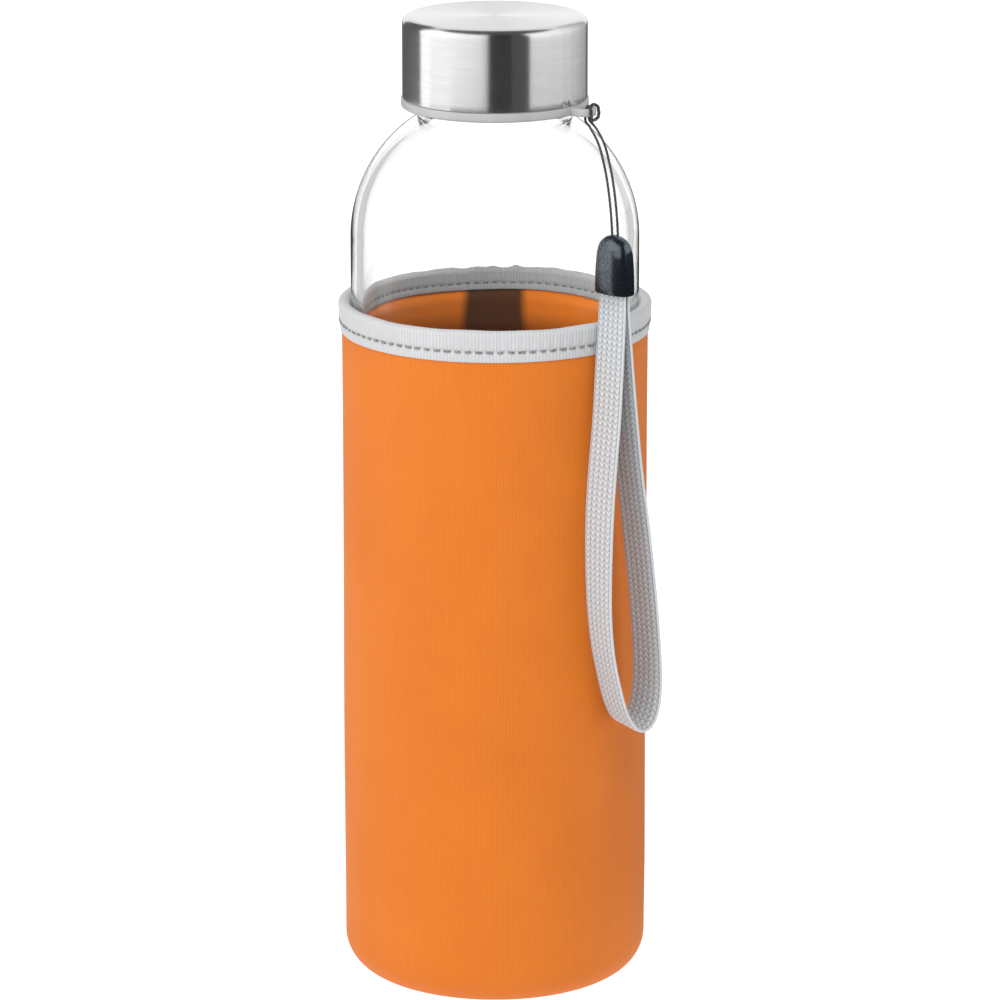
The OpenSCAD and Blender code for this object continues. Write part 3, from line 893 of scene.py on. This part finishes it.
def make_sleeve_wall():
    top_z = SLEEVE_TOP_Z
    inner_corner = SLEEVE_CORNER - 1.8 * MM
    outline = [(BASE_R + 0.05 * MM, 0.4 * MM), (BASE_R + 0.5 * MM, 0.04 * MM)]
    outline += line(outline[-1], (SLEEVE_R - SLEEVE_CORNER, 0), 3)
    outline += arc(SLEEVE_R - SLEEVE_CORNER, SLEEVE_CORNER, SLEEVE_CORNER, -90, 0, 22)
    outline += line((SLEEVE_R, SLEEVE_CORNER), (SLEEVE_R, top_z - 0.5 * MM), 120)
    outline += arc(SLEEVE_R - 0.5 * MM, top_z - 0.5 * MM, 0.5 * MM, 0, 90, 5)
    outline += arc(HEM_IN + 0.4 * MM, top_z - 0.4 * MM, 0.4 * MM, 90, 180, 5)
    outline += [(HEM_IN, top_z - HEM_H), (SLEEVE_IN, top_z - HEM_H - 0.2 * MM)]
    outline += line(outline[-1], (SLEEVE_IN, BASE_T + inner_corner), 60)
    outline += arc(SLEEVE_IN - inner_corner, BASE_T + inner_corner, inner_corner, 0, -90, 14)
    outline += [(BASE_R + 0.05 * MM, BASE_T)]

    def shape(r, z, angle):
        outside = (r > SLEEVE_R - 1.2 * MM) & (z > 5 * MM) & (z < top_z - 8 * MM)
        ease = np.clip((z - 5 * MM) / (20 * MM), 0, 1) * np.clip((top_z - 8 * MM - z) / (20 * MM), 0, 1)
        # The tape and the seam draw the cloth in a little.
        drawn = -0.12 * MM * np.exp(-((angle - math.pi / 2) / 0.12) ** 2)
        return r + np.where(outside, ease * (slow_waves(angle, z) * 0.16 * MM + drawn), 0), z

    wall = lathe("sleeve_tube", outline, 256, shape)
    dress(wall, SLEEVE_CLOTH)
    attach(wall, "sleeve")
    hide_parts("sleeve_wall")


def make_sleeve_base():
    r, soft = BASE_R - 0.05 * MM, 0.5 * MM
    outline = [(0, 0.02 * MM)]
    outline += [(r * t, 0.02 * MM) for t in (0.15, 0.3, 0.5, 0.7, 0.85, 0.93)]
    outline += arc(r - soft, soft, soft, -90, 0, 6)
    outline += arc(r - soft, BASE_T - soft, soft, 0, 90, 6)
    outline += [(r * t, BASE_T) for t in (0.8, 0.5, 0.2)] + [(0, BASE_T)]
    base = lathe("sleeve_disc", outline, 192)
    dress(base, SLEEVE_CLOTH)
    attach(base, "sleeve")
    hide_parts("sleeve_base")


def binding_radius(z):
    """Outer radius of the binding: it widens from its foot up to the fold."""
    fold = (BINDING_R - SLEEVE_IN) / 2
    share = np.clip((z - BINDING_LOW_Z) / (BINDING_TOP_Z - fold - BINDING_LOW_Z), 0, 1)
    foot = SLEEVE_R + BINDING_FOOT
    return foot + (BINDING_R - foot) * share ** 0.8


def make_binding():
    fold = (BINDING_R - SLEEVE_IN) / 2
    middle_r = SLEEVE_IN + fold
    top_z = BINDING_TOP_Z - fold
    inner_z = top_z - BINDING_INSIDE
    soft = 0.17 * MM
    outline = arc(SLEEVE_R + soft + 0.02 * MM, BINDING_LOW_Z + soft, soft, 180, 330, 8)
    outline += [(binding_radius(z), z) for z in np.linspace(BINDING_LOW_Z + 0.3 * MM, top_z, 46)]
    outline += arc(middle_r, top_z, fold, 0, 180, 26)[1:]
    outline += line((SLEEVE_IN, top_z), (SLEEVE_IN, inner_z + 0.3 * MM), 16)
    outline += arc(SLEEVE_IN + 0.3 * MM, inner_z + 0.3 * MM, 0.3 * MM, 180, 360, 6)
    outline += line((HEM_IN, inner_z + 0.3 * MM), (HEM_IN, SLEEVE_TOP_Z), 6)
    outline += [(HEM_IN, SLEEVE_TOP_Z + 0.1 * MM), (SLEEVE_R + 0.02 * MM, SLEEVE_TOP_Z + 0.1 * MM)]
    outline += line((SLEEVE_R + 0.02 * MM, SLEEVE_TOP_Z), (SLEEVE_R + 0.02 * MM, BINDING_LOW_Z + soft), 10)

    def shape(r, z, angle):
        outside = np.clip((r - SLEEVE_R - 0.1 * MM) / (0.2 * MM), 0, 1)
        inside = (r < SLEEVE_IN + 0.1 * MM) & (z < top_z)
        crest = np.clip((z - top_z) / fold, 0, 1)
        off = (z - STITCH_Z) / MM
        pull = np.cos(STITCHES * angle)
        sewn = -0.30 * MM * np.exp(-(off / 0.55) ** 2) * (0.6 + 0.4 * pull)
        puckers = 0.06 * MM * pull * np.exp(-((off - 1.3) / 1.4) ** 2)
        pressed = 0.30 * MM * np.exp(-((z - INNER_STITCH_Z) / (0.35 * MM)) ** 2) * (0.7 + 0.3 * pull)
        # The tape's ends lap at the back, where the rim is lumpier.
        behind = np.exp(-(((angle - math.pi / 2) / 0.55) ** 2))
        uneven = 0.08 * np.sin(7 * angle + 1) + 0.05 * np.sin(17 * angle)
        lumps = behind * (0.14 * np.sin(23 * angle + 0.8) + 0.10 * np.sin(41 * angle))
        lift = crest * (uneven + lumps - 0.20) * MM
        return r + outside * (sewn + puckers - 0.06 * MM) + np.where(inside, pressed, 0), z + lift

    binding = lathe("rim_binding", outline, STITCHES * 8, shape)
    dress(binding, BINDING_CLOTH)
    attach(binding, "sleeve")
    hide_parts("sleeve_binding")


def make_binding_stitches():
    """Lock stitches: short threads outside, and the same threads pressed into the inner leg."""
    shell = Shell()
    half = 0.29 * FULL_TURN / STITCHES
    rows = [(binding_radius(STITCH_Z) - 0.32 * MM, STITCH_Z, 0.0, 1, 0.33 * MM),
            (SLEEVE_IN + 0.24 * MM, INNER_STITCH_Z, 0.5, -1, 0.16 * MM)]
    for reach, height, offset, side, radius in rows:
        for k in range(STITCHES):
            middle = (k + 0.5 + offset) * FULL_TURN / STITCHES
            tilt = 0.08 * MM * math.sin(k * 2.4)
            path = []
            for t in np.linspace(-1, 1, 9):
                a = middle + t * half * (1 + 0.15 * math.sin(k * 1.7))
                r = reach + side * (0.12 * MM * (1 - t ** 4) - 0.12 * MM * t ** 6)
                path.append((r * math.cos(a), r * math.sin(a), height + t * tilt))
            shell.add(*thread_parts(path, radius))
    stitches = shell.make("rim_stitches")
    dress(stitches, GREY_THREAD)
    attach(stitches, "sleeve")
    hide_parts("binding_stitches")


def make_side_seam():
    """Flat seam up the back: a zigzag thread over the butted edges, held by two rows of short stitches."""
    shell = Shell()
    low = SLEEVE_CORNER + 1.5 * MM
    high = BINDING_LOW_Z - 0.4 * MM
    pitch = 1.7 * MM
    half = SEAM_W / 2 - 0.5 * MM
    count = int((high - low) / pitch)
    thread_r = 0.17 * MM

    def on_wall(across, z, lift):
        angle = math.pi / 2 - across / SLEEVE_R
        r = SLEEVE_R + lift
        return (r * math.cos(angle), r * math.sin(angle), z)

    for k in range(count):
        z = low + k * pitch
        for side in (-1, 1):
            path = [on_wall(side * half * t, z + pitch * (0.5 + 0.5 * t) * 0.9,
                            0.10 * MM + 0.10 * MM * (1 - t * t))
                    for t in np.linspace(-1, 1, 9)]
            shell.add(*thread_parts(path, thread_r, sides=6))
            row = [on_wall(side * half, z + pitch * (0.15 + 0.7 * t), 0.16 * MM * (1 - (2 * t - 1) ** 4))
                   for t in np.linspace(0, 1, 6)]
            shell.add(*thread_parts(row, thread_r, first=(1, 0, 0), sides=6))
    seam = shell.make("back_seam")
    dress(seam, ORANGE_THREAD)
    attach(seam, "sleeve")
    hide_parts("side_seam")


def make_base_seam():
    """Short slanted stitches across the joint between the base and the wall."""
    shell = Shell()
    count = 90
    half = 0.9 * MM
    for k in range(count):
        a = k * FULL_TURN / count
        step = FULL_TURN / count
        path = [((BASE_R + half * math.cos(math.pi * t)) * math.cos(a + step * t),
                 (BASE_R + half * math.cos(math.pi * t)) * math.sin(a + step * t), 0.24 * MM)
                for t in np.linspace(0, 1, 7)]
        shell.add(*thread_parts(path, 0.16 * MM, sides=6))
    seam = shell.make("under_seam")
    dress(seam, ORANGE_THREAD)
    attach(seam, "sleeve")
    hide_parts("base_seam")


make_sleeve_wall()
make_sleeve_base()
make_binding()
make_binding_stitches()
make_side_seam()
make_base_seam()

# ---------------------------------------------------------------- studio

CARD_R = 0.62
HAZE_R = 0.66
FLAG_R = 0.085
FLAG_H = 0.178
LOW_FLAG_H = 0.15
LEFT_FOOT_H = 0.05
RIGHT_FOOT_H = 0.07
BACK_LOW_H = 0.19
MAT_NEAR_R = 0.06
MAT_FAR_R = 0.60
MAT_Z = 0.001


def floor_material():
    """Pale acrylic, faintly lit from below, so that it stays white away from the lamps."""
    g = Graph("floor_paint")
    haze = g.noise(g.place(), 3, 2)
    return g.finish({
        "Base Color": g.ramp(haze, [(0.3, (0.23, 0.23, 0.23)), (0.7, (0.26, 0.26, 0.26))]),
        "Roughness": 0.9, "Specular IOR Level": 0.1, "Emission Color": (1, 1, 1, 1),
        "Emission Strength": WHITE_LEVEL,
    })


def glow(name, strength):
    g = Graph(name)
    g.node("ShaderNodeOutputMaterial",
           {"Surface": g.node("ShaderNodeEmission", {"Color": (1, 1, 1, 1), "Strength": strength}).outputs[0]})
    return g.material


def stage_sheet(name, points, faces, material, seen_through=False):
    """A sheet that only shows up in reflections, and through the glass when seen_through is set."""
    piece = new_object(name, points, faces)
    dress(piece, material)
    piece.visible_camera = False
    piece.visible_shadow = False
    piece.visible_diffuse = False
    piece.visible_transmission = seen_through


def card(name, start, end, material, low=0.0, high=0.9, radius=CARD_R, seen_through=False):
    """A curved upright card round the object, from azimuth start to end in degrees. Azimuth 0 is the
    camera's side and 90 is +X."""
    count = 24
    points = []
    for i in range(count + 1):
        a = math.radians(start + (end - start) * i / count)
        points += [(radius * math.sin(a), -radius * math.cos(a), z) for z in (low, high)]
    faces = [(2 * i, 2 * i + 2, 2 * i + 3, 2 * i + 1) for i in range(count)]
    stage_sheet(name, points, faces, material, seen_through)


def area_light(name, place, target, size, power):
    data = bpy.data.lights.new(name, "AREA")
    data.shape = "DISK"
    data.size = size
    data.energy = power
    lamp = bpy.data.objects.new(name, data)
    lamp.location = place
    lamp.rotation_euler = (Vector(target) - Vector(place)).to_track_quat("-Z", "Y").to_euler()
    lamp.visible_camera = False
    lamp.visible_glossy = False
    lamp.visible_transmission = False
    bpy.context.scene.collection.objects.link(lamp)


def make_world():
    """White all round: brightest in reflections, dimmest as a fill light."""
    world = bpy.data.worlds.new("studio")
    world.use_nodes = True
    tree = world.node_tree
    background = tree.nodes["Background"]
    path = tree.nodes.new("ShaderNodeLightPath")
    level = WHITE_LEVEL
    for ray, strength in (("Is Glossy Ray", SKY_LEVEL), ("Is Diffuse Ray", FILL_LEVEL)):
        pick = tree.nodes.new("ShaderNodeMix")
        tree.links.new(path.outputs[ray], pick.inputs[0])
        if isinstance(level, bpy.types.NodeSocket):
            tree.links.new(level, pick.inputs[2])
        else:
            pick.inputs[2].default_value = level
        pick.inputs[3].default_value = strength
        level = pick.outputs[0]
    tree.links.new(level, background.inputs["Strength"])
    background.inputs["Color"].default_value = (1, 1, 1, 1)
    bpy.context.scene.world = world


def make_cards():
    """Light and dark cards round the object, which draw the stripes on the cap and the glass's edges."""
    dark = glow("dark_card", 0.03)
    dim = glow("dim_card", 0.12)
    # Softboxes: start, end and level of each strip. The left fades to the front, the right to the back.
    left = [(-104, -60, 1.55), (-60, -46, 1.50), (-46, -34, 1.42), (-34, -26, 1.34), (-26, -20, 1.28),
            (-20, -15, 1.18), (-15, -11, 1.0), (-11, -8, 0.65)]
    right = [(43, 72, 1.34), (72, 92, 1.26), (92, 108, 1.12), (108, 120, 0.95), (120, 130, 0.80),
             (130, 140, 0.66), (140, 152, 0.52)]
    for side, strips, low in (("left", left, LEFT_FOOT_H), ("right", right, RIGHT_FOOT_H)):
        for i, (start, end, level) in enumerate(strips):
            card(f"{side}_{i}", start, end, glow(f"{side}_light_{i}", level), low)
    card("left_foot", -88, -8, dark, high=LEFT_FOOT_H)
    card("right_foot", 43, 152, dark, high=RIGHT_FOOT_H)
    card("front_card", -8, 20, dark)
    card("front_end", 20, 43, glow("front_end_light", 0.08))
    # Two near flags keep the ferrule's gloss dark. They end below what the cap mirrors.
    card("flag", -52, 128, dark, high=FLAG_H, radius=FLAG_R)
    card("low_flag", 128, 180, dark, high=LOW_FLAG_H, radius=FLAG_R)
    card("back_left_card", -152, -104, dim)
    card("left_haze", -152, -104, glow("left_haze_light", 0.66), radius=HAZE_R, seen_through=True)
    card("right_haze", 108, 152, glow("right_haze_light", 0.72), radius=HAZE_R, seen_through=True)
    card("back_low_left", -180, -152, dim, high=BACK_LOW_H)
    card("back_low_right", 152, 180, dim, high=BACK_LOW_H)
    turns = [math.radians(a) for a in range(-8, 181, 4)]
    far, near = ([(r * math.sin(a), -r * math.cos(a), MAT_Z) for a in turns]
                 for r in (MAT_FAR_R, MAT_NEAR_R))
    count = len(turns)
    stage_sheet("dark_mat", far + near, [(i, i + 1, count + i + 1, count + i) for i in range(count - 1)],
                dark)
    stage_sheet("ceiling_card", [(-0.7, -1.1, 1.0), (0.7, -1.1, 1.0), (0.7, 0.3, 1.0), (-0.7, 0.3, 1.0)],
                [(0, 1, 2, 3)], glow("ceiling_dark", 0.1))


def make_studio():
    half = 14
    floor = new_object("floor", [(-half, -half, 0), (half, -half, 0), (half, half, 0), (-half, half, 0)],
                       [(0, 1, 2, 3)])
    dress(floor, floor_material())
    make_cards()
    # Place, size and power of each lamp. All point at the object.
    lamps = [("key", (-1.1, -1.0, 0.75), 0.9, 10), ("rim_left", (-1.1, 0.5, 0.35), 0.8, 1.6),
             ("rim_right", (1.1, 0.4, 0.35), 0.8, 2.2), ("top", (0.0, -0.7, 1.3), 0.9, 11)]
    for name, place, size, power in lamps:
        area_light(name, place, (0, 0, 0.1), size, power)
    make_world()
    scene = bpy.context.scene
    scene.view_settings.view_transform = "Standard"
    scene.view_settings.look = "None"


make_studio()
